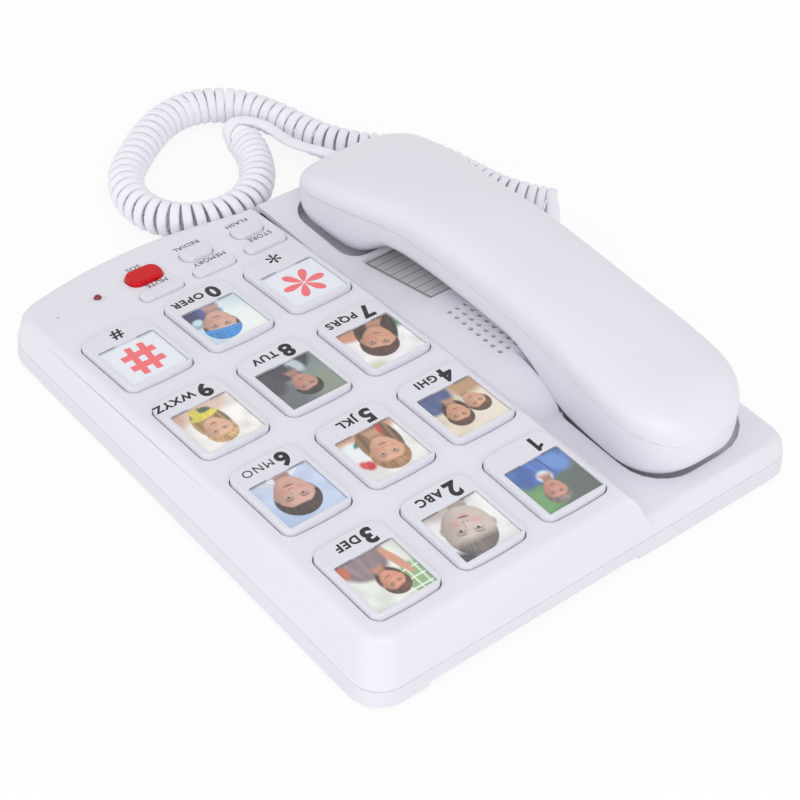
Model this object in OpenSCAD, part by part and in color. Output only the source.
// Corded desk telephone with large picture keys.
// Millimetres. +X is the user's right, +Y points away from the user, +Z is up.
// The origin is at the bottom centre of the base, on the surface it stands on.

/* [Base] */
// Width of the base, left to right
base_width = 191; // [184:1:200]
// Length of the base, front to back
base_length = 231.5; // [222:0.5:240]
// Thickness of the moulded walls
wall = 2.2; // [1.8:0.1:2.6]
// Lean of the side walls over their height
wall_draft = 2.5; // [1.5:0.1:3.5]
// Plan corner radius at the front left
front_corner = 26; // [18:1:30]
// Plan corner radius at the front right
right_corner = 17; // [14:1:22]
// Plan corner radius at the back
rear_corner = 12; // [12:1:18]
// Radius of the front edge before the keypad, which bows outward
bow_radius = 165; // [150:5:190]
// How far the bowed front edge stands before the front edge on the handset side
bow_reach = 7; // [6:0.5:8]
// Rounding of the top edge round the keypad
edge_round = 3.2; // [2:0.1:4]
// Rounding of the top edge on the handset side
deck_edge_round = 8; // [4:0.5:8.5]
// Height of the parting line between the two base shells
seam_height = 8; // [7:0.5:10]

/* [Keypad deck] */
// Radius of the arched keypad deck, seen from the side
arch_radius = 1790; // [1500:10:2500]
// Distance behind the middle of the base where the arch is highest
arch_peak = 102.5; // [90:0.5:105]
// Height of the keypad deck at its highest
arch_height = 30.3; // [29:0.1:33]
// Left edge of the keypad deck, where it starts to fall to the handset side
deck_left = -13.5; // [-15:0.5:-13]
// Width of the S-shaped step from the keypad deck down to the handset side
step_width = 12; // [10:0.5:12]
// Height of the low deck round the handset wells
low_deck = 16; // [15:0.5:17]

/* [Keys] */
// Gap between neighbouring keys, left to right
key_column_gap = 7.8; // [7:0.1:9]
// Gap between neighbouring keys, front to back
key_row_gap = 10.2; // [9.5:0.1:11]
// Corner radius of a key
key_corner = 3.5; // [2:0.25:5]
// How far the front and back edges of a key bow outward
key_bow = 0.7; // [0.2:0.1:1]
// Height of a key above the deck
key_proud = 2.3; // [1.8:0.1:3]
// Gap round a key in its opening
key_gap = 0.5; // [0.3:0.05:0.6]
// Travel of a key
key_travel = 1.8; // [1.2:0.1:2]
// Width of the rim of a key beside its picture window
key_rim = 2.25; // [2:0.05:3.5]
// Thickness of the picture window
window_thickness = 1.3; // [1:0.1:1.4]
// Distance from the middle of the key to the middle of its window
window_shift = 4.4; // [3:0.1:4.4]

/* [Function buttons] */
// Length of the red emergency button
sos_length = 14.5; // [12:0.5:16]
// Width of the red emergency button
sos_width = 9.5; // [8:0.5:10]
// Length of the two oval buttons
oval_length = 13; // [11:0.5:15]
// Width of the two oval buttons
oval_width = 8.4; // [7:0.2:9]
// Length of the three bar buttons
bar_length = 18; // [16:0.2:18.2]
// Width of the three bar buttons
bar_width = 5.6; // [4.5:0.1:6]
// Height of the function buttons above the deck
button_proud = 1.9; // [1.2:0.1:2.4]

/* [Handset] */
// How much shorter the handset is than the base
handset_margin = 18.5; // [16:0.5:20]
// Distance of the middle of the handset behind the middle of the base
handset_middle = 3; // [2:0.5:4]
// Width of the handset at its mouthpiece
mouth_width = 56.5; // [54:0.5:58]
// Width of the handset at its earpiece
ear_width = 50.5; // [49:0.5:54]
// Width of the handset at its grip
grip_width = 46.5; // [44:0.5:48]
// Rounding of the mouthpiece end, seen from above
mouth_round = 22; // [18:1:24]
// Rounding of the earpiece end, seen from above
ear_round = 27; // [22:1:28]
// Height of the handset's parting line at the grip
grip_seam = 41; // [40:0.5:42]
// Drop of the parting line to the mouthpiece end
mouth_drop = 16.5; // [14:0.5:18]
// Drop of the parting line to the earpiece end
ear_drop = 10; // [8:0.5:12]
// Height of the crown above the parting line at the grip
grip_crown = 11.5; // [9:0.5:13]
// Height of the crown above the parting line at the mouthpiece
mouth_crown = 8; // [7:0.5:11]
// Height of the crown above the parting line at the earpiece
ear_crown = 11; // [9:0.5:14]
// Depth of the grip below the parting line
grip_belly = 12.5; // [11:0.5:13]
// Wall thickness of the handset shells
handset_wall = 2; // [1.6:0.1:2.4]

/* [Handset wells] */
// Height of the floor of the wells
well_floor = 9; // [8.6:0.1:10]
// Gap between the handset's cups and the floor of the wells
cup_gap = 0.3; // [0.2:0.05:0.5]
// Height of the rests that stand on the floor of the wells
rest_height = 1.7; // [1:0.1:2]
// Gap between the handset and the rim of the wells on the outer side
far_gap = 2.5; // [2:0.1:3]
// Gap between the mouthpiece and the rim of its well on the keypad side
near_gap = 1; // [0.8:0.1:1.5]
// Height of the bridge between the wells at its front
bridge_front = 24.6; // [24:0.1:25]
// Height of the bridge between the wells at its top
bridge_top = 26.4; // [25.5:0.1:26.6]

/* [Loudspeaker grille] */
// Diameter of a hole of the loudspeaker grille
grille_hole = 2; // [1.4:0.1:2.4]
// Holes across the grille
grille_columns = 9; // [5:1:9]
// Holes along the grille
grille_rows = 8; // [5:1:8]
// Hole spacing across the grille
grille_pitch_x = 3.75; // [3:0.05:3.9]
// Hole spacing along the grille
grille_pitch_y = 4.05; // [3.4:0.05:4.1]

/* [Jacks] */
// Width of a handset plug
plug_width = 7.7; // [7.4:0.1:8]
// Height of a handset plug
plug_height = 6.6; // [6:0.1:6.8]
// Length of a handset plug
plug_length = 11.5; // [10:0.5:12]
// Clearance round a plug in its jack
plug_clearance = 0.15; // [0.1:0.05:0.2]
// Width of the opening of the line jack
line_jack_width = 9.8; // [9.4:0.1:10.4]
// Place of the cord jack along the left wall
cord_jack_y = -24.5; // [-26:0.5:-23]
// Place of the line jack along the left wall
line_jack_y = 32.5; // [24:1:34]

/* [Curly cord] */
// Outer diameter of the curls
curl_diameter = 15; // [13:0.5:15]
// Width of the cable, along the curly cord
cable_width = 2.4; // [2:0.1:2.5]
// Thickness of the cable
cable_thickness = 2.4; // [2:0.1:2.6]

/* [Hidden] */
key_names = ["star", "0", "hash", "7", "8", "9", "4", "5", "6", "1", "2", "3"];
button_names = ["sos", "redial", "flash", "mute", "memory", "store"];
$fn = 48;

half_width = base_width / 2;
half_length = base_length / 2;
foot_height = 1.2;
floor_thickness = 2;
floor_top = foot_height + floor_thickness;
shell_top = arch_height + 4;
corner_steps = 6;
// The keys share out the deck between its left edge and the right wall
key_field = half_width - deck_left - 3.1;
key_pitch_x = key_field / 3;
key_middle_x = deck_left + 1.5 * key_pitch_x - 2.45;
key_pitch_y = (base_length - 93.5) / 3;
key_width = key_pitch_x - key_column_gap;
key_length = key_pitch_y - key_row_gap;
window_side = key_width - 2 * key_rim;
key_front_y = -half_length + 65.25;
front_row_y = -half_length + 25.25;
bar_row_y = front_row_y + 12.4;
handset_length = base_length - handset_margin;
handset_x = -half_width + 38.8;
handset_front = handset_middle - handset_length / 2;
handset_back = handset_middle + handset_length / 2;
mouth_left = handset_x - mouth_width / 2;
mouth_right = handset_x + mouth_width / 2;
// Keeps the edge roundings from running exactly tangent to the faces they meet
edge_dip = 0.05;
// Past every face that a cut has to clear
over = 20;

// Keypad deck: an arc about a line that runs left to right below the base
function deck_z(y) = arch_height - arch_radius + sqrt(arch_radius * arch_radius - pow(y - arch_peak, 2));
function deck_tilt(y) = asin((arch_peak - y) / arch_radius);
module on_deck(x, y) {
    translate([x, arch_peak, arch_height - arch_radius])
        rotate([deck_tilt(y), 0, 0])
            translate([0, 0, arch_radius])
                children();
}

// Rounded outlines, anticlockwise from the front left corner
function arc(cx, cy, r, from, to, steps) =
    [for (i = [0:steps]) let (a = from + (to - from) * i / steps) [cx + r * cos(a), cy + r * sin(a)]];
function rounded(x0, x1, y0, y1, r) = concat(
    arc(x0 + r[0], y0 + r[0], r[0], 180, 270, corner_steps),
    arc(x1 - r[1], y0 + r[1], r[1], 270, 360, corner_steps),
    arc(x1 - r[2], y1 - r[2], r[2], 0, 90, corner_steps),
    arc(x0 + r[3], y1 - r[3], r[3], 90, 180, corner_steps));
function blend(t) = let (s = min(1, max(0, t))) s * s * (3 - 2 * s);

// Solid through rings with the same number of points, from the bottom ring up
module loft(rings) {
    n = len(rings[0]);
    last = len(rings) - 1;
    sides = [for (k = [0:last - 1]) for (i = [0:n - 1])
        let (a = k * n + i, b = k * n + (i + 1) % n)
        each [[a, a + n, b + n], [a, b + n, b]]];
    polyhedron([for (ring = rings) each ring],
        concat(sides, [[for (i = [0:n - 1]) i]], [[for (i = [n - 1:-1:0]) last * n + i]]));
}
function level(z, outline) = [for (p = outline) [p[0], p[1], z]];

// ---- Base form: one solid, drawn again with an inset for the hollow inside ----

// Arc of the plan, as [x, y, outward x, outward y]; side is -1 where the arc curves inward
function plan_arc(cx, cy, r, from, to, steps, side = 1, skip = 0) = [for (i = [0:steps - skip])
    let (a = from + (to - from) * i / steps)
    [cx + r * cos(a), cy + r * sin(a), side * cos(a), side * sin(a)]];
bow_x = key_middle_x + 1;
bow_y = -half_length + bow_radius;
front_line = -half_length + bow_reach;
// Inward curve between the straight and the bowed front edge
fillet_radius = 60;
fillet_y = front_line - fillet_radius;
fillet_x = bow_x - sqrt(pow(bow_radius + fillet_radius, 2) - pow(bow_y - fillet_y, 2));
fillet_turn = atan2(bow_y - fillet_y, bow_x - fillet_x);
right_x = half_width - right_corner;
right_turn = asin((right_x - bow_x) / (bow_radius - right_corner));
right_y = bow_y - (bow_radius - right_corner) * cos(right_turn);
// Points along the right wall, so that its rounding follows the arch of the deck
side_steps = 9;
plan = concat(
    plan_arc(-half_width + front_corner, front_line + front_corner, front_corner, 180, 270, 8),
    plan_arc(fillet_x, fillet_y, fillet_radius, 90, fillet_turn, 3, -1, 1),
    plan_arc(bow_x, bow_y, bow_radius, 180 + fillet_turn, 270 + right_turn, 10, 1, 1),
    plan_arc(right_x, right_y, right_corner, 270 + right_turn, 360, corner_steps),
    [for (i = [1:side_steps - 1]) [half_width, right_y + (half_length - rear_corner - right_y) * i / side_steps, 1, 0]],
    plan_arc(half_width - rear_corner, half_length - rear_corner, rear_corner, 0, 90, corner_steps),
    plan_arc(-half_width + rear_corner, half_length - rear_corner, rear_corner, 90, 180, corner_steps));
// Lean of the walls: how far they move inward for each millimetre up
lean = wall_draft / arch_height;
function moved_in(p, by, z) = [p[0] - p[2] * by, p[1] - p[3] * by, z];

// Drafted body of the base
function plan_ring(inset, z) = [for (p = plan) moved_in(p, inset + lean * z, z)];
module plan_body(inset, bottom, top) {
    loft([plan_ring(inset, bottom), plan_ring(inset, top)]);
}

// Ring of an edge rounding: angle 90 is at the wall and 0 at the top
round_angle = 85;
function deck_round(p) = edge_round + front_extra * pow(max(0, -p[3]), 2);
front_extra = 2.5;
function deck_ring(inset, angle) = [for (p = plan)
    let (r = deck_round(p), at = inset + wall_draft + r * (1 - sin(angle)))
    moved_in(p, at, deck_z(p[1] - p[3] * at) - inset - edge_dip - r * (1 - cos(angle)))];
function low_round(p) = edge_round + (deck_edge_round - edge_round) * pow(max(0, -p[2]), 2);
function low_ring(inset, angle) = [for (p = plan)
    let (r = low_round(p), at = inset + lean * low_deck + r * (1 - sin(angle)))
    moved_in(p, at, low_deck - inset - r * (1 - cos(angle)))];
round_steps = 4;
function round_angles() = [for (i = [0:round_steps]) round_angle * (1 - i / round_steps)];

// Body under the keypad deck with its edges rounded; it runs on above the deck, which cuts it
clear_run = 2.4;
clear_rise = 0.4;
function clear_ring(inset, z) = [for (p = plan)
    let (at = inset + wall_draft + deck_round(p) + clear_run)
    moved_in(p, at, z > 0 ? z : deck_z(p[1] - p[3] * at) - inset + clear_rise)];
module deck_ends(inset, bottom) {
    loft(concat([plan_ring(inset, bottom)], [for (a = round_angles()) deck_ring(inset, a)],
        [clear_ring(inset, 0), clear_ring(inset, shell_top + 2)]));
}

// Keypad deck, swept along its arch, with the S-shaped step on its left
module deck_sweep(inset) {
    step_depth = arch_height - low_deck + 2;
    step_steps = 10;
    left = [for (i = [step_steps:-1:0])
        let (t = i / step_steps, fall = step_depth * 6 * t * (1 - t), slant = norm([fall, step_width]))
        [deck_left - step_width * t + inset * fall / slant, -step_depth * blend(t) - inset * step_width / slant]];
    low = -arch_height - 8;
    far = half_width + over;
    outline = concat([[far, -inset], [far, low], [left[0][0], low]], left);
    sweep = 9;
    translate([0, arch_peak, arch_height - arch_radius])
        rotate([0, -90, 0])
            rotate([0, 0, -sweep + 1.5])
                rotate_extrude(angle = sweep, $fn = 360)
                    polygon([for (p = outline) [arch_radius + p[1], -p[0]]]);
}
module along_x(x0, x1) {
    translate([x0, 0, 0]) rotate([90, 0, 90]) linear_extrude(height = x1 - x0) children();
}
module along_y(y0, y1) {
    translate([0, y1, 0]) rotate([90, 0, 0]) linear_extrude(height = y1 - y0) children();
}

// Low deck on the handset side
module low_deck_body(inset, bottom) {
    intersection() {
        loft(concat([plan_ring(inset, bottom)], [for (a = round_angles()) low_ring(inset, a)]));
        translate([-half_width - over, -half_length - over, bottom - over])
            cube([half_width + over + deck_left - step_width / 2, base_length + 2 * over, 3 * over]);
    }
}

// Edge rounding in a front view, from the top down to the wall
edge_lean = 9;
function round_edge(wall_at, top, r) =
    let (turn = 90 - edge_lean, steps = 5)
    [for (i = [0:steps]) [wall_at + r - r * sin(turn * i / steps), top - r + r * cos(turn * i / steps)]];
// Point far down the tangent at the lower end of such a rounding
function below_edge(edge) =
    let (last = edge[len(edge) - 1], drop = 60)
    [last[0] - drop * tan(edge_lean), last[1] - drop];

// Bridge between the wells, which carries the index card and the loudspeaker grille
// Place along the handset where its parting line is highest
grip_peak = 2.5;
// The handset's belly deepens towards its cups, over these distances from that line
mouth_cup_start = 0.2066 * handset_length;
mouth_cup_run = 0.1127 * handset_length;
ear_cup_start = 0.1033 * handset_length;
ear_cup_run = handset_length / 2 - 46.5 - ear_cup_start;
// The wells and the card are shares of the handset's length, and the speaker's room one of the bridge's
mouth_well_share = 0.23;
card_share = 0.202;
ear_well_share = 0.249;
card_front = handset_front + mouth_well_share * handset_length;
card_back = card_front + card_share * handset_length;
bridge_back = handset_back - ear_well_share * handset_length;
bridge_run = bridge_back - card_back;
bridge_fall = 0.383 * bridge_run;
front_foot = 14.8;
bridge_left_round = 5;
// The slope of the card runs on past the rim of the front well
slope_run = 12;
bridge_slope = (bridge_front - front_foot) / (card_back - card_front);
module bridge_body(inset, bottom) {
    fall_steps = 8;
    top_start = bridge_back - bridge_fall;
    crest_foot = low_deck - 3;
    crest = [for (i = [0:fall_steps]) let (a = 90 * i / fall_steps)
        [top_start + (bridge_fall - inset) * sin(a), crest_foot + (bridge_top - crest_foot - inset) * cos(a)]];
    top = bridge_top + 0.2 - inset;
    left = round_edge(-half_width + wall_draft + inset, top, bridge_left_round);
    slope_foot = [card_front - slope_run + inset, front_foot - slope_run * bridge_slope - inset];
    intersection() {
        plan_body(inset, bottom, shell_top);
        along_x(-half_width - over, 0)
            polygon(concat([[slope_foot[0], -over], slope_foot, [card_back, bridge_front - inset],
                [card_back + 10, bridge_front + 1 - inset]], crest, [[bridge_back - inset, -over]]));
        along_y(-half_length, half_length)
            polygon(concat([below_edge(left)], [for (i = [len(left) - 1:-1:0]) left[i]],
                [[0, top], [0, -over]]));
    }
}
// Saddle in the bridge that clears the handset where its belly deepens towards the earpiece
saddle_gap = 1;
saddle_front = grip_peak + ear_cup_start + 1.5;
module saddle(inset) {
    steps = 9;
    profile = [for (i = [0:steps]) let (y = saddle_front + (bridge_back - saddle_front) * i / steps)
        [y - inset * i / steps, seam_z(y) - belly_at(y, 0) - saddle_gap - inset]];
    along_x(well_left + 6 - inset, ear_well_right - 1 + inset)
        polygon(concat(profile, [[bridge_back + inset, profile[steps][1]], [bridge_back + inset, shell_top + over],
            [saddle_front, shell_top + over]]));
}

module base_form(inset, bottom) {
    intersection() {
        deck_sweep(inset);
        deck_ends(inset, bottom);
    }
    difference() {
        union() {
            low_deck_body(inset, bottom);
            bridge_body(inset, bottom);
        }
        saddle(inset);
    }
}

// ---- Handset wells ----

well_left = mouth_left - far_gap;
mouth_well_right = mouth_right + near_gap;
mouth_well_front = handset_front + 4;
// The earpiece curves in below its widest line, and so does its well
ear_well_right = handset_x + ear_width / 2 - 2.35;
ear_well_back = handset_back - 3.7;
function well_outline(ear, grow) = ear
    ? rounded(well_left - grow, ear_well_right + grow, bridge_back - 2 - grow, ear_well_back + grow,
        [6 + grow, 6 + grow, 17 + grow, 22 + grow])
    : rounded(well_left - grow, mouth_well_right + grow, mouth_well_front - grow, card_front - 1 + grow,
        [18 + grow, 14 + grow, 8 + grow, 8 + grow]);
well_wall = 1.8;
module wells(grow, floor_z) {
    for (ear = [false, true]) {
        translate([0, 0, floor_z]) linear_extrude(height = 2 * over) polygon(well_outline(ear, grow));
    }
}
ear_cup_y = handset_back - 30;
mouth_cup_y = handset_front + 24;
rest_radius = 3;
rest_spread = 9;
module well_rests() {
    for (y = [ear_cup_y - 4, mouth_cup_y]) {
        for (side = [-1, 1]) {
            translate([handset_x + side * rest_spread, y, well_floor - 0.5])
                cylinder(h = rest_height + 0.5, r = rest_radius);
        }
    }
}

// ---- Keys ----

function key_x(i) = key_middle_x + (i % 3 - 1) * key_pitch_x;
function key_y(i) = key_front_y + floor(i / 3) * key_pitch_y;
bow_points = 3;
// Outline of a key: a rounded rectangle whose front and back edges bow outward
function key_outline(grow) =
    let (w = key_width / 2 + grow, l = key_length / 2 - key_bow + grow, r = key_corner + grow)
    let (raw = rounded(-w, w, -l, l, [r, r, r, r]), n = corner_steps + 1)
    let (across = [for (k = [1:bow_points]) k / (bow_points + 1)])
    let (front_edge = [for (t = across) [(w - r) * (2 * t - 1), -l]])
    let (back_edge = [for (t = across) [(w - r) * (1 - 2 * t), l]])
    let (corners = [for (k = [0:3]) [for (i = [k * n:(k + 1) * n - 1]) raw[i]]])
    let (full = concat(corners[0], front_edge, corners[1], corners[2], back_edge, corners[3]))
    [for (p = full) [p[0], p[1] + sign(p[1]) * key_bow * (1 - pow(p[0] / w, 2))]];

flange_gap = 0.3;
flange_thickness = 1;
flange_width = 0.9;
key_bottom = -wall - flange_gap - flange_thickness;
key_bevel = 0.8;
key_wall = 1.5;
pocket_clearance = 0.2;
pocket_floor = key_proud - window_thickness;
plate_bottom = pocket_floor - 1.2;
stem_radius = 3;

// Circuit board: a flat board under the arched deck, level with its chord
board_thickness = 1.6;
mat_thickness = 1.2;
dome_height = 1.4;
board_front = -half_length + 13;
board_back = half_length - 9;
board_left = deck_left - 2;
board_right = half_width - 8;
board_drop = 6.2;
chord_front = deck_z(board_front);
chord_back = deck_z(board_back);
board_tilt = atan((chord_back - chord_front) / (board_back - board_front));
function mat_top(y) = chord_front + (y - board_front) * tan(board_tilt) - board_drop;
module on_board() {
    translate([0, board_front, chord_front - board_drop]) rotate([board_tilt, 0, 0]) children();
}
board_run = (board_back - board_front) / cos(board_tilt);
function along_board(y) = (y - board_front) / cos(board_tilt);

// Room left between a stem and its dome, so that a full press just meets it
press_room = 0.15;
function stem_bottom(y) = -(deck_z(y) - mat_top(y)) + dome_height + press_room;

module key_cap(i) {
    y = key_y(i);
    on_deck(key_x(i), y) {
        difference() {
            union() {
                loft([level(key_bottom, key_outline(0)), level(key_proud - key_bevel, key_outline(0)),
                    level(key_proud - key_bevel * 0.3, key_outline(-key_bevel * 0.3)),
                    level(key_proud, key_outline(-key_bevel))]);
                translate([0, 0, key_bottom])
                    linear_extrude(height = flange_thickness) polygon(key_outline(flange_width));
            }
            translate([0, window_shift, pocket_floor + over / 2])
                cube([window_side + 2 * pocket_clearance, window_side + 2 * pocket_clearance, over], center = true);
            translate([0, 0, key_bottom - 1])
                linear_extrude(height = plate_bottom - key_bottom + 1) polygon(key_outline(-key_wall));
        }
        translate([0, 0, stem_bottom(y) + key_travel])
            cylinder(h = plate_bottom - stem_bottom(y) - key_travel + 0.5, r = stem_radius);
    }
}
window_tab = 5;
tab_depth = 1.8;
module key_window(i) {
    bevel = 0.4;
    side = window_side / 2;
    corner = 0.8;
    on_deck(key_x(i), key_y(i)) {
        translate([0, window_shift, pocket_floor]) {
            difference() {
                union() {
                    linear_extrude(height = window_thickness - bevel)
                        polygon(rounded(-side, side, -side, side, [corner, corner, corner, corner]));
                    linear_extrude(height = window_thickness)
                        polygon(rounded(-side + bevel, side - bevel, -side + bevel, side - bevel,
                            [corner, corner, corner, corner]));
                }
                translate([side - window_tab, -side - over + tab_depth / 2, window_thickness - 0.6])
                    cube([window_tab - bevel, over, 1]);
            }
        }
    }
}

// ---- Function buttons: name, place, length, width, end radius, colour ----

button_pitch = key_pitch_x * 2 / 3;
button_middle_x = key_middle_x - key_pitch_x / 2 + 0.5;
buttons = [
    ["sos", button_middle_x + button_pitch, front_row_y, sos_length, sos_width, "red"],
    ["redial", button_middle_x, front_row_y, oval_length, oval_width, "white"],
    ["flash", button_middle_x - button_pitch, front_row_y, oval_length, oval_width, "white"],
    ["mute", button_middle_x + button_pitch, bar_row_y, bar_length, bar_width, "white"],
    ["memory", button_middle_x, bar_row_y, bar_length, bar_width, "white"],
    ["store", button_middle_x - button_pitch, bar_row_y, bar_length, bar_width, "white"]];
button_gap = 0.3;
button_flange = 0.5;
button_flange_thickness = 0.7;
button_bottom = -wall - 0.2 - button_flange_thickness;
function button_outline(b, grow) =
    let (l = b[3] / 2 + grow, w = b[4] / 2 + grow, r = min(w, b[4] * 0.42 + grow))
    rounded(-l, l, -w, w, [r, r, r, r]);
module function_button(b) {
    crown = 0.9;
    color(b[5]) on_deck(b[1], b[2]) {
        loft([level(button_bottom, button_outline(b, 0)), level(button_proud - crown, button_outline(b, 0)),
            level(button_proud - crown * 0.35, button_outline(b, -crown * 0.35)),
            level(button_proud, button_outline(b, -crown))]);
        translate([0, 0, button_bottom])
            linear_extrude(height = button_flange_thickness) polygon(button_outline(b, button_flange));
    }
}

// ---- Openings of the top shell ----

led_x = half_width - 31.5;
led_y = front_row_y + 0.5;
led_radius = 1.6;
led_ring = 2.6;
mic_x = half_width - 14;
mic_y = front_row_y + 1;
mic_hole_radius = 0.6;
card_left = -half_width + 8.5;
card_right = deck_left - step_width - 5.5;
card_recess = 0.8;
grille_x = handset_x + 10.7;
grille_y = card_back + 0.36 * bridge_run;
plunger_y = ear_cup_y + 9;
plunger_radius = 3.5;
plunger_clearance = 0.3;
speaker_radius = 0.294 * bridge_run;
boss_radius = 3.6;
screw_radius = 1.3;
post_x = deck_left - 5;
screw_places = [[(key_x(1) + key_x(2)) / 2, (key_y(6) + key_y(9)) / 2], [key_x(2) - 12.3, bar_row_y],
    [post_x, plunger_y + 14], [post_x, bar_row_y + 30.5], [-half_width + 10.5, arch_peak - 100]];

module card_slope(x, y) {
    translate([x, y, bridge_front + (y - card_back) * bridge_slope])
        rotate([atan(bridge_slope), 0, 0]) children();
}
card_middle = (card_front + card_back) / 2;
card_length = (card_back - card_front - 2) / cos(atan(bridge_slope));
card_width = card_right - card_left;

module top_shell_openings() {
    for (i = [0:len(key_names) - 1]) {
        on_deck(key_x(i), key_y(i))
            translate([0, 0, -over / 2]) linear_extrude(height = over) polygon(key_outline(key_gap));
    }
    for (b = buttons) {
        on_deck(b[1], b[2])
            translate([0, 0, -over / 2]) linear_extrude(height = over) polygon(button_outline(b, button_gap));
    }
    on_deck(led_x, led_y) cylinder(h = over, r = led_ring, center = true);
    on_deck(mic_x, mic_y) cylinder(h = over, r = mic_hole_radius, center = true);
    for (column = [0:grille_columns - 1]) {
        for (row = [0:grille_rows - 1]) {
            translate([grille_x + (column - (grille_columns - 1) / 2) * grille_pitch_x,
                grille_y + (row - (grille_rows - 1) / 2) * grille_pitch_y, bridge_top])
                cylinder(h = over / 2, r = grille_hole / 2, center = true, $fn = 16);
        }
    }
    card_slope((card_left + card_right) / 2, card_middle)
        translate([0, 0, over / 2 - card_recess]) cube([card_width, card_length, over], center = true);
    translate([handset_x, plunger_y, well_floor])
        cylinder(h = over, r = plunger_radius + plunger_clearance, center = true);
    jack_openings();
}

// Jacks sit in the left wall, across the parting line
jack_wall = 1.6;
jack_gap = 0.15;
// The openings reach in past the rounding of the top edge
jack_reach = 11;
jack_bottom = floor_top;
cord_jack_height = plug_height + 2 * plug_clearance;
jack_inside = -half_width + 1.2;
line_jack_height = 7.2;
module jack_openings() {
    for (jack = [[cord_jack_y, plug_width + 2 * plug_clearance, cord_jack_height],
        [line_jack_y, line_jack_width, line_jack_height]]) {
        translate([-half_width - over, jack[0] - jack[1] / 2 - jack_wall - jack_gap, jack_bottom - 0.1])
            cube([over + jack_reach, jack[1] + 2 * (jack_wall + jack_gap), jack[2] + 2 * jack_wall + jack_gap + 0.1]);
    }
}

module base_top_shell() {
    color("white") difference() {
        union() {
            difference() {
                base_form(0, seam_height);
                base_form(wall, -1);
            }
            intersection() {
                base_form(0, well_floor - well_wall);
                wells(well_wall, well_floor - well_wall);
            }
            intersection() {
                base_form(0.8, seam_height);
                for (place = screw_places) {
                    translate([place[0], place[1], seam_height + 3]) cylinder(h = shell_top, r = boss_radius);
                }
            }
        }
        wells(0, well_floor);
        for (place = screw_places) {
            translate([place[0], place[1], 0]) cylinder(h = seam_height + 7, r = screw_radius);
        }
        top_shell_openings();
    }
    color("white") well_rests();
}

// ---- Lower base shell ----

recess_left = post_x - 0.5;
recess_right = key_x(2) - 0.3;
recess_depth = 6;
recess_height = 2.8;
post_radius = 3.6;
screw_head_radius = 2.8;
module base_bottom_shell() {
    color("whitesmoke") difference() {
        union() {
            difference() {
                plan_body(0, foot_height, seam_height);
                difference() {
                    plan_body(wall, floor_top, seam_height + 1);
                    translate([recess_left - wall, half_length - recess_depth - wall, 0])
                        cube([recess_right - recess_left + 2 * wall, over, recess_height + wall]);
                }
            }
            for (place = screw_places) {
                translate([place[0], place[1], floor_top - 1]) cylinder(h = seam_height + 4 - floor_top, r = post_radius);
            }
        }
        translate([recess_left, half_length - recess_depth, -1])
            cube([recess_right - recess_left, over, recess_height + 1]);
        for (place = screw_places) {
            translate([place[0], place[1], -1]) cylinder(h = over, r = screw_radius + 0.2);
            translate([place[0], place[1], -1]) cylinder(h = floor_top + 1, r = screw_head_radius);
        }
        for (place = feet_places) {
            translate([place[0], place[1], foot_height - 1]) cylinder(h = 1.6, r = foot_radius + 0.1);
        }
        jack_openings();
    }
}
foot_radius = 6;
feet_places = [[half_width - 22.5, -half_length + 38.25], [-half_width + 20.5, -half_length + 30.25],
    [half_width - 18.5, half_length - 33.25], [-half_width + 18.5, half_length - 25.25]];
module rubber_feet() {
    color("dimgray") for (place = feet_places) {
        translate([place[0], place[1], 0]) cylinder(h = foot_height + 0.6, r = foot_radius);
    }
}
screw_length = 8;
screw_head = 1.6;
module base_screws() {
    color("silver") for (place = screw_places) {
        translate([place[0], place[1], floor_top]) {
            cylinder(h = screw_length, r = screw_radius);
            translate([0, 0, -screw_head]) difference() {
                cylinder(h = screw_head, r = screw_head_radius - 0.2);
                for (turn = [0, 90]) {
                    rotate([0, 0, turn]) cube([screw_head_radius, 0.7, screw_head * 0.9], center = true);
                }
            }
        }
    }
}

// ---- Inside the base ----

module circuit_board() {
    notch = mic_y - board_front + 6;
    color("darkgreen") on_board() {
        translate([0, 0, -mat_thickness - board_thickness]) difference() {
            translate([board_left, 0, 0]) cube([board_right - board_left, board_run, board_thickness]);
            for (place = screw_places) {
                translate([place[0], along_board(place[1]), -1]) cylinder(h = over, r = boss_radius + 1);
            }
            translate([mic_x - 6, -1, -1]) cube([over, notch + 1, over]);
        }
    }
}
module keypad_mat() {
    dome_radius = 5;
    mat_left = board_left + 2;
    mat_right = board_right - 6;
    color("lightgray") on_board() {
        difference() {
            translate([mat_left, 2, -mat_thickness])
                cube([mat_right - mat_left, along_board(key_y(9) + key_length / 2) - 2, mat_thickness]);
            for (hole = [[led_x, led_y, led_radius + 1], [mic_x, mic_y, 6]]) {
                translate([hole[0], along_board(hole[1]), 0]) cylinder(h = over, r = hole[2], center = true);
            }
            for (place = screw_places) {
                translate([place[0], along_board(place[1]), 0])
                    cylinder(h = over, r = boss_radius + 1, center = true);
            }
        }
        for (i = [0:len(key_names) - 1]) {
            translate([key_x(i), along_board(key_y(i)), -0.2]) cylinder(h = dome_height + 0.2, r = dome_radius);
        }
    }
}
module loudspeaker() {
    depth = 12;
    top = bridge_front - wall - 1.2;
    color("dimgray") translate([grille_x, grille_y, top - depth]) {
        difference() {
            cylinder(h = depth, r = speaker_radius);
            translate([0, 0, depth - 1]) cylinder(h = 2, r = speaker_radius - 2.5);
            translate([0, 0, -1]) difference() {
                cylinder(h = depth - 3, r = speaker_radius + 1);
                cylinder(h = depth, r = speaker_radius * 0.6);
            }
        }
        translate([0, 0, depth - 1.2]) cylinder(h = 0.9, r1 = 6, r2 = 3);
        translate([0, 0, -(top - depth) + floor_top]) cylinder(h = top - depth - floor_top + 0.2, r = 5);
    }
}
card_thickness = 0.3;
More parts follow.
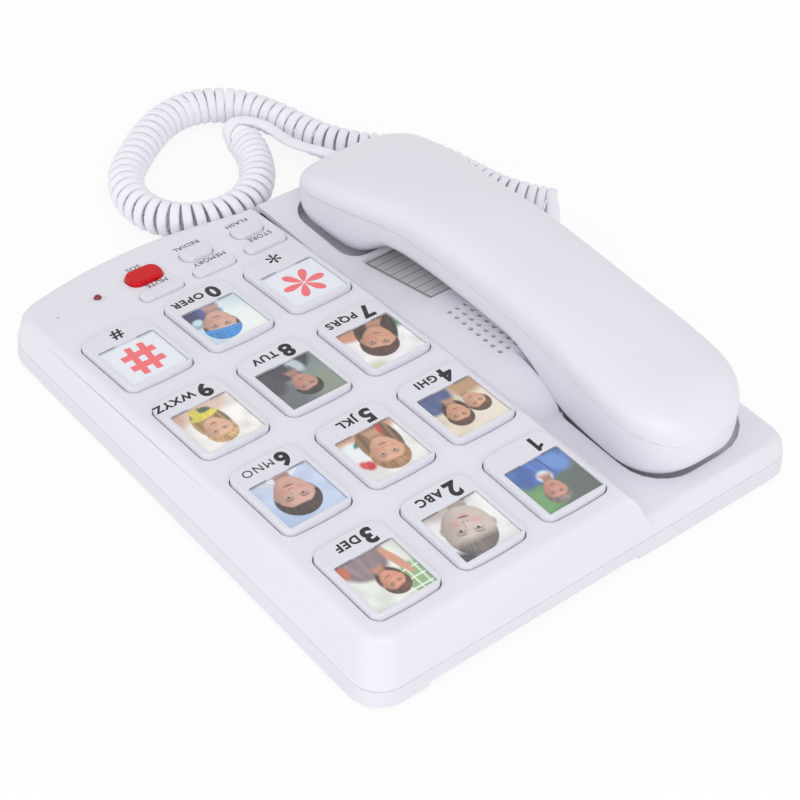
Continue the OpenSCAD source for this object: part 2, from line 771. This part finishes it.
module index_card() {
    color("ivory") card_slope((card_left + card_right) / 2, card_middle)
        translate([0, 0, -card_recess + card_thickness / 2])
            cube([card_width - 0.6, card_length - 0.6, card_thickness], center = true);
}
module index_card_cover() {
    cover_thickness = card_recess - card_thickness;
    color("lightcyan") card_slope((card_left + card_right) / 2, card_middle)
        translate([0, 0, -cover_thickness / 2])
            cube([card_width - 0.3, card_length - 0.3, cover_thickness], center = true);
}
module status_led() {
    depth = deck_z(led_y) - mat_top(led_y) + mat_thickness;
    on_deck(led_x, led_y) {
        color("white") difference() {
            translate([0, 0, -wall]) cylinder(h = wall + 0.3, r = led_ring - 0.05);
            translate([0, 0, -wall - 1]) cylinder(h = wall + 3, r = led_radius);
        }
        color("red") {
            translate([0, 0, -depth + 0.1]) cylinder(h = depth, r = led_radius);
            translate([0, 0, 0]) sphere(r = led_radius);
        }
    }
}

module jack_body(y, width, height, depth, cavity) {
    translate([jack_inside, y - width / 2 - jack_wall, jack_bottom]) difference() {
        cube([depth, width + 2 * jack_wall, height + 2 * jack_wall]);
        translate([-1, jack_wall, jack_wall]) cube([cavity + 1, width, height]);
    }
}
cord_jack_depth = 13.5;
cord_cavity = plug_length - 1.5;
module handset_cord_jack() {
    width = plug_width + 2 * plug_clearance;
    color("dimgray") jack_body(cord_jack_y, width, cord_jack_height, cord_jack_depth, cord_cavity);
}
line_cavity = 11;
module line_jack() {
    contact_height = 1.2;
    pitch = 1.02;
    depth = line_cavity + 3;
    contact_length = 5;
    contact_z = jack_bottom + jack_wall + line_jack_height - contact_height;
    color("dimgray") jack_body(line_jack_y, line_jack_width, line_jack_height, depth, line_cavity);
    color("gold") for (i = [-1.5:1:1.5]) {
        translate([jack_inside + line_cavity - contact_length, line_jack_y + i * pitch - 0.25, contact_z])
            cube([contact_length + 0.1, 0.5, contact_height + 0.1]);
    }
}
module base_microphone() {
    radius = 4.8;
    top = -wall - 0.3;
    depth = deck_z(mic_y) - mat_top(mic_y) + mat_thickness;
    color("black") on_deck(mic_x, mic_y) translate([0, 0, -depth + 0.1]) difference() {
        cylinder(h = depth + top - 0.1, r = radius);
        translate([0, 0, depth + top - 0.6]) cylinder(h = 1, r = 1);
    }
}

// ---- Hook switch: the plunger is drawn pressed down by the handset ----

cup_bottom = well_floor + rest_height + cup_gap;
arm_thickness = 1;
arm_bottom = floor_top + 0.1;
arm_width = 6;
riser_x = board_left - 6;
switch_height = 5.4;
nub_height = 1;
finger_length = 9;
finger_bottom = floor_top + switch_height + nub_height + 0.1;
module hook_plunger() {
    color("white") {
        translate([handset_x, plunger_y, arm_bottom])
            cylinder(h = cup_bottom - cup_gap - arm_bottom, r = plunger_radius);
        translate([handset_x, plunger_y - arm_width / 2, arm_bottom])
            cube([riser_x - handset_x + 1.5, arm_width, arm_thickness]);
        translate([riser_x, plunger_y - arm_width / 2, arm_bottom])
            cube([1.5, arm_width, finger_bottom + arm_thickness - arm_bottom]);
        translate([riser_x, plunger_y - arm_width / 2, finger_bottom])
            cube([finger_length, arm_width, arm_thickness]);
    }
}
switch_width = 9;
switch_length = 12;
nub_side = 2.4;
module hook_switch() {
    color("black") translate([riser_x + 2.5, plunger_y - switch_length / 2, floor_top])
        cube([switch_width, switch_length, switch_height]);
    color("red") translate([riser_x + 6, plunger_y - nub_side / 2, floor_top + switch_height - 0.2])
        cube([nub_side, nub_side, nub_height + 0.2]);
}

// ---- Handset: two lofted shells that meet on one curved parting line ----

end_steps = 5;
middle_steps = 16;
section_steps = 14;
top_squareness = 2.5;
belly_squareness = 3.4;
end_squareness = 2.2;
end_angle = 82;
function end_round(y) = y < handset_middle ? mouth_round : ear_round;
// Stations along the handset, close together round its ends
function station(k, inset) =
    let (a = handset_front + inset, b = handset_back - inset, ra = mouth_round - inset, rb = ear_round - inset)
    k < end_steps ? a + ra * (1 - sin(end_angle * (end_steps - k) / end_steps))
    : k > end_steps + middle_steps ? b - rb * (1 - sin(end_angle * (k - end_steps - middle_steps) / end_steps))
    : a + ra + (b - a - ra - rb) * (k - end_steps) / middle_steps;
stations = 2 * end_steps + middle_steps + 1;
// The parting line is highest at the middle of the grip
front_half = grip_peak - handset_front;
back_half = handset_back - grip_peak;
function seam_z(y) = let (t = y - grip_peak)
    grip_seam - (t < 0 ? mouth_drop * pow(t / front_half, 2) : ear_drop * pow(t / back_half, 2));
function end_fall(y, r, inset, n = 2) =
    let (near = min(y - handset_front - inset, handset_back - inset - y), d = max(0, r - inset - near))
    pow(max(0, 1 - pow(d / (r - inset), n)), 1 / n);
// The grip is narrow over its middle and blends into the heads
narrow_share = 0.30;
blend_share = 0.42;
function width_at(y, inset) =
    let (share = blend((abs(y - handset_middle) / (handset_length / 2) - narrow_share) / blend_share))
    let (head = y < handset_middle ? mouth_width : ear_width, r = end_round(y))
    let (full = (grip_width + (head - grip_width) * share) / 2)
    full - r + (r - inset) * end_fall(y, r, inset, end_squareness);
mouth_crown_round = 20;
ear_crown_round = 18;
mouth_belly_round = 22;
ear_belly_round = 26;
function crown_at(y, inset) =
    let (t = blend(abs(y - grip_peak) / (handset_length / 2)), mouth = y < grip_peak)
    (grip_crown + ((mouth ? mouth_crown : ear_crown) - grip_crown) * t - inset)
        * end_fall(y, mouth ? mouth_crown_round : ear_crown_round, inset);
function belly_at(y, inset) =
    let (d = y - grip_peak, mouth = d < 0)
    let (t = mouth ? blend((-d - mouth_cup_start) / mouth_cup_run) : blend((d - ear_cup_start) / ear_cup_run))
    (grip_belly + (seam_z(y) - cup_bottom - grip_belly) * t - inset)
        * end_fall(y, mouth ? mouth_belly_round : ear_belly_round, inset);
function power(v, e) = sign(v) * pow(abs(v), e);
function shell_point(k, j, up, inset) =
    let (y = station(k, inset), a = 180 * j / section_steps, n = up > 0 ? top_squareness : belly_squareness)
    let (h = up > 0 ? crown_at(y, inset) : belly_at(y, inset), rise = j == section_steps ? 0 : power(sin(a), 2 / n))
    [handset_x + width_at(y, inset) * power(cos(a), 2 / n), y, seam_z(y) + up * h * rise];
function ordered(up, faces) = up > 0 ? faces : [for (f = faces) [for (i = [len(f) - 1:-1:0]) f[i]]];
module handset_half(up) {
    m = section_steps + 1;
    inner = stations * m;
    points = concat(
        [for (k = [0:stations - 1]) for (j = [0:m - 1]) shell_point(k, j, up, 0)],
        [for (k = [0:stations - 1]) for (j = [0:m - 1]) shell_point(k, j, up, handset_wall)]);
    skin = [for (k = [0:stations - 2]) for (j = [0:m - 2]) let (a = k * m + j, b = a + m)
        each [[a, a + 1, b + 1], [a, b + 1, b],
            [inner + a, inner + b + 1, inner + a + 1], [inner + a, inner + b, inner + b + 1]]];
    loop = concat([for (k = [0:stations - 1]) k * m], [for (k = [stations - 1:-1:0]) k * m + m - 1]);
    rim = [for (i = [0:len(loop) - 1]) let (a = loop[i], b = loop[(i + 1) % len(loop)])
        each [[a, b, inner + b], [a, inner + b, inner + a]]];
    back = (stations - 1) * m;
    ends = [[for (j = [m - 1:-1:0]) j], [for (j = [0:m - 1]) inner + j],
        [for (j = [0:m - 1]) back + j], [for (j = [m - 1:-1:0]) inner + back + j]];
    polyhedron(points, ordered(up, concat(skin, rim, ends)));
}

handset_screw_places = [mouth_cup_y + 24, ear_cup_y - 26];
handset_post_radius = 3.4;
// Depth to which the handset's screws enter the posts of the top shell, above the parting line
screw_bite = 3;
exit_z = seam_z(handset_front) - 0.5;
socket_width = plug_width + 2 * plug_clearance;
socket_height = plug_height + 2 * plug_clearance;
// Distance of the socket's mouth from the end of the handset, where the end wall is cut through
socket_set_in = handset_wall + 3.8;
module socket_opening() {
    translate([handset_x - socket_width / 2 - 0.1, handset_front - over, exit_z - socket_height / 2 - 0.1])
        cube([socket_width + 0.2, over + socket_set_in - 0.2, socket_height + 0.2]);
}
module handset_top_shell() {
    color("white") {
        difference() {
            handset_half(1);
            socket_opening();
        }
        for (y = handset_screw_places) {
            top = seam_z(y) + crown_at(y, 0) - 1;
            translate([handset_x, y, seam_z(y) - 2]) difference() {
                cylinder(h = top - seam_z(y) + 2, r = handset_post_radius);
                translate([0, 0, -1]) cylinder(h = screw_bite + 3, r = screw_radius);
            }
        }
    }
}
head_depth = 3;
ear_hole_radius = 1.1;
mouth_hole_radius = 0.9;
mouth_hole_pitch = 4;
speaker_y = ear_cup_y - 6;
module handset_bottom_shell() {
    color("white") difference() {
        union() {
            handset_half(-1);
            for (y = handset_screw_places) {
                bottom = seam_z(y) - belly_at(y, 0) + 1;
                translate([handset_x, y, bottom]) cylinder(h = seam_z(y) - 2 - bottom, r = handset_post_radius);
            }
        }
        for (y = handset_screw_places) {
            bottom = seam_z(y) - belly_at(y, 0);
            translate([handset_x, y, bottom - 2]) cylinder(h = seam_z(y) - bottom + 2, r = screw_radius + 0.2);
            translate([handset_x, y, bottom - 2]) cylinder(h = head_depth + 2, r = screw_head_radius);
        }
        socket_opening();
        for (ring = [[0, 1], [5, 6], [9.5, 12]]) {
            for (i = [0:ring[1] - 1]) {
                angle = 360 * i / ring[1];
                translate([handset_x + ring[0] * cos(angle), speaker_y + ring[0] * sin(angle), cup_bottom])
                    cylinder(h = 4 * handset_wall, r = ear_hole_radius, center = true, $fn = 16);
            }
        }
        for (i = [-1:1]) {
            translate([handset_x + mouth_hole_pitch * i, mouth_cup_y, cup_bottom])
                cylinder(h = 4 * handset_wall, r = mouth_hole_radius, center = true, $fn = 16);
        }
    }
}
module handset_screws() {
    color("silver") for (y = handset_screw_places) {
        seat = seam_z(y) - belly_at(y, 0) + head_depth;
        translate([handset_x, y, seat]) cylinder(h = seam_z(y) + screw_bite - seat, r = screw_radius);
        translate([handset_x, y, seat - screw_head]) cylinder(h = screw_head, r = screw_head_radius - 0.2);
    }
}
capsule_radius = 13;
capsule_height = 9;
capsule_gap = 1.2;
magnet_height = 3;
module earpiece_capsule() {
    color("dimgray") translate([handset_x, speaker_y, cup_bottom + handset_wall + capsule_gap]) {
        difference() {
            cylinder(h = capsule_height, r = capsule_radius);
            translate([0, 0, -1]) cylinder(h = 1.8, r = capsule_radius - 2);
        }
        translate([0, 0, capsule_height]) cylinder(h = magnet_height, r = capsule_radius * 0.5);
    }
}
microphone_height = 6.5;
microphone_gap = 0.5;
module handset_microphone() {
    color("black") translate([handset_x, mouth_cup_y, cup_bottom + handset_wall + microphone_gap]) difference() {
        cylinder(h = microphone_height, r = 4.9);
        translate([0, 0, -1]) cylinder(h = 1.6, r = 2.5);
    }
}
socket_depth = plug_length + 1;
socket_back = 1.5;
module handset_socket() {
    start = handset_front + socket_set_in;
    color("dimgray") translate([handset_x, start + socket_depth / 2, exit_z]) difference() {
        cube([socket_width + 2 * jack_wall, socket_depth, socket_height + 2 * jack_wall], center = true);
        translate([0, -socket_back, 0]) cube([socket_width, socket_depth, socket_height], center = true);
    }
}

// ---- Cord ----

// Modular plug that points along +Y, with its cable entry at y = 0
module plug() {
    latch = 3.4;
    contact_pitch = 1.27;
    difference() {
        translate([-plug_width / 2, 0, -plug_height / 2]) cube([plug_width, plug_length, plug_height]);
        for (i = [-1.5:1:1.5]) {
            translate([i * contact_pitch - 0.3, plug_length - 4, -plug_height / 2 - 1]) cube([0.6, 5, 2]);
        }
        translate([-latch / 2 - 0.4, 3, plug_height / 2 - 1.2]) cube([0.4, plug_length, 2]);
        translate([latch / 2, 3, plug_height / 2 - 1.2]) cube([0.4, plug_length, 2]);
    }
}
handset_plug_y = handset_front + socket_set_in + socket_depth - socket_back - plug_length - 0.5;
module handset_plug() {
    color("lightgray") translate([handset_x, handset_plug_y, exit_z]) plug();
}
base_plug_x = jack_inside + cord_cavity - plug_length;
cord_jack_z = jack_bottom + jack_wall + cord_jack_height / 2;
module base_plug() {
    color("lightgray") translate([base_plug_x, cord_jack_y, cord_jack_z]) rotate([0, 0, -90]) plug();
}

// Centre line of the curls, as plan points set by hand: three curls to a step, so close points lie tight
curl_z = curl_diameter / 2 + 0.6;
curls_per_step = 3;
curl_route = [[-47, -155.5], [-44, -144], [-39, -133.5], [-31, -124], [-19.5, -118], [-6, -118],
    [5.5, -124.5], [12, -136], [12, -149.5], [6, -161.5], [-4, -170.5], [-15.5, -178.5], [-27.5, -184.5],
    [-40.5, -186], [-52.5, -181], [-61.5, -171], [-66.5, -158], [-70, -144], [-74.5, -131],
    [-82, -119.5], [-91, -110], [-99.5, -99.5], [-103.5, -87.5], [-106, -74.5], [-109, -62.5],
    [-114.5, -51], [-121, -41]];
// Catmull-Rom curve through points, with the ends carried straight on
function route_point(route, u) =
    let (n = len(route), i = min(n - 2, floor(u)), t = u - i)
    let (p1 = route[i], p2 = route[i + 1])
    let (p0 = i > 0 ? route[i - 1] : 2 * p1 - p2, p3 = i < n - 2 ? route[i + 2] : 2 * p2 - p1)
    ((2 * p1) + (p2 - p0) * t + (2 * p0 - 5 * p1 + 4 * p2 - p3) * t * t + (3 * p1 - p0 - 3 * p2 + p3) * t * t * t) / 2;
function unit(v) = v / norm(v);

// One unbroken coiled cable: rings of six sides that follow a helix about the route
rings_per_curl = 8;
cable_sides = 6;
curl_steps = len(curl_route) - 1;
curls = curl_steps * curls_per_step;
coil_radius = (curl_diameter - cable_thickness) / 2;
// The cable spirals out of its centre line over the first and last curl
function coil_reach(u) = coil_radius * blend(min(u, curl_steps - u) * curls_per_step);
function coil_axis(u) =
    let (d = 0.01, a = max(0, u - d), b = min(curl_steps, u + d))
    unit(route_point(curl_route, b) - route_point(curl_route, a));
function flat_axis(u) = let (t = coil_axis(u)) [t[0], t[1], 0];
function coil_tail(u, side) = coil_point(u) + side * cable_width * flat_axis(u);
function coil_point(u) =
    let (p = route_point(curl_route, u), t = coil_axis(u), angle = 360 * u * curls_per_step, r = coil_reach(u))
    [p[0] - t[1] * r * cos(angle), p[1] + t[0] * r * cos(angle), curl_z + r * sin(angle)];
function coil_rings() =
    let (n = curls * rings_per_curl, start = flat_axis(0), finish = flat_axis(curl_steps))
    concat(
        [[coil_tail(0, -1), start, [-start[1], start[0], 0]]],
        [for (i = [0:n]) let (u = i / n * curl_steps, d = 0.002, t = coil_axis(u))
            let (along = unit(coil_point(min(curl_steps, u + d)) - coil_point(max(0, u - d))), angle = 360 * u * curls_per_step)
            [coil_point(u), along, [-t[1] * cos(angle), t[0] * cos(angle), sin(angle)]]],
        [[coil_tail(curl_steps, 1), finish, [-finish[1], finish[0], 0]]]);
// The coil ends in a straight tail at each end of its route, and the leads run on from there
coil_head = coil_tail(0, -1);
coil_foot = coil_tail(curl_steps, 1);
lead_run = 3;
// The leads stop this far from the coil, which keeps still when the handset lifts
lead_gap = 0.1;
handset_lead_route = concat([[handset_x, handset_plug_y, exit_z], [handset_x, handset_front - 2, exit_z]],
    [[-54.5, -113, 22.8], [-53.5, -121, 20.8], [-54, -130, 18.5], [-55.5, -139, 16], [-57, -147.5, 13.5],
     [-57.5, -155.5, 11.2], [-55, -162.5, 9.4], [-50.5, -165, 8.4]],
    [coil_head - lead_run * flat_axis(0), coil_head - lead_gap * flat_axis(0)]);
base_lead_route = [coil_foot + lead_gap * flat_axis(curl_steps), coil_foot + lead_run * flat_axis(curl_steps), [-122, -32, curl_z],
    [-117, -26.5, curl_z], [-110, cord_jack_y, cord_jack_z], [-102.5, cord_jack_y, cord_jack_z],
    [base_plug_x, cord_jack_y, cord_jack_z]];

// Tube along rings of [centre, direction, outward]: half_across lies beside the direction, half_out along outward
module tube(rings, sides, half_across, half_out) {
    n = len(rings);
    points = [for (ring = rings)
        let (out = unit(ring[2] - (ring[2] * ring[1]) * ring[1]), across = cross(ring[1], out))
        for (s = [0:sides - 1]) let (a = 360 * s / sides)
            ring[0] + half_across * cos(a) * across + half_out * sin(a) * out];
    sides_faces = [for (k = [0:n - 2]) for (s = [0:sides - 1])
        let (a = k * sides + s, b = k * sides + (s + 1) % sides)
        each [[a, a + sides, b + sides], [a, b + sides, b]]];
    polyhedron(points, concat(sides_faces, [[for (s = [0:sides - 1]) s]], [[for (s = [sides - 1:-1:0]) (n - 1) * sides + s]]));
}
module curly_cord() {
    color("white") tube(coil_rings(), cable_sides, cable_width / 2, cable_thickness / 2);
}
// Least gap between turns, on the ring centres of one coil, less the width of the cable
coil_centres = [for (ring = coil_rings()) ring[0]];
gap_list = [for (i = [3 * rings_per_curl:len(coil_centres) - 1 - 2 * rings_per_curl])
    min([for (k = [rings_per_curl - 3:rings_per_curl + 3]) norm(coil_centres[i] - coil_centres[i - k])]) - cable_width];
echo(curls = curls, least_gap_between_curls = min(gap_list));

function lead_rings(route, step) =
    let (n = (len(route) - 1) * step)
    [for (i = [0:n]) let (u = i / step, d = 0.02)
        [route_point(route, u), unit(route_point(route, min(len(route) - 1, u + d)) - route_point(route, max(0, u - d))), [0, 0, 1]]];
lead_sides = 8;
module handset_lead() {
    color("white") tube(lead_rings(handset_lead_route, 2), lead_sides, cable_width / 2, cable_thickness / 2);
}
module base_lead() {
    color("white") tube(lead_rings(base_lead_route, 2), lead_sides, cable_width / 2, cable_thickness / 2);
}

base_top_shell();
base_bottom_shell();
rubber_feet();
base_screws();
circuit_board();
keypad_mat();
loudspeaker();
index_card();
index_card_cover();
status_led();
line_jack();
handset_cord_jack();
hook_switch();
base_microphone();
hook_plunger();
for (i = [0:len(key_names) - 1]) {
    color("white") key_cap(i);
    color("lightcyan") key_window(i);
}
for (b = buttons) {
    function_button(b);
}
handset_top_shell();
handset_bottom_shell();
earpiece_capsule();
handset_microphone();
handset_screws();
handset_socket();
handset_plug();
base_plug();
handset_lead();
curly_cord();
base_lead();
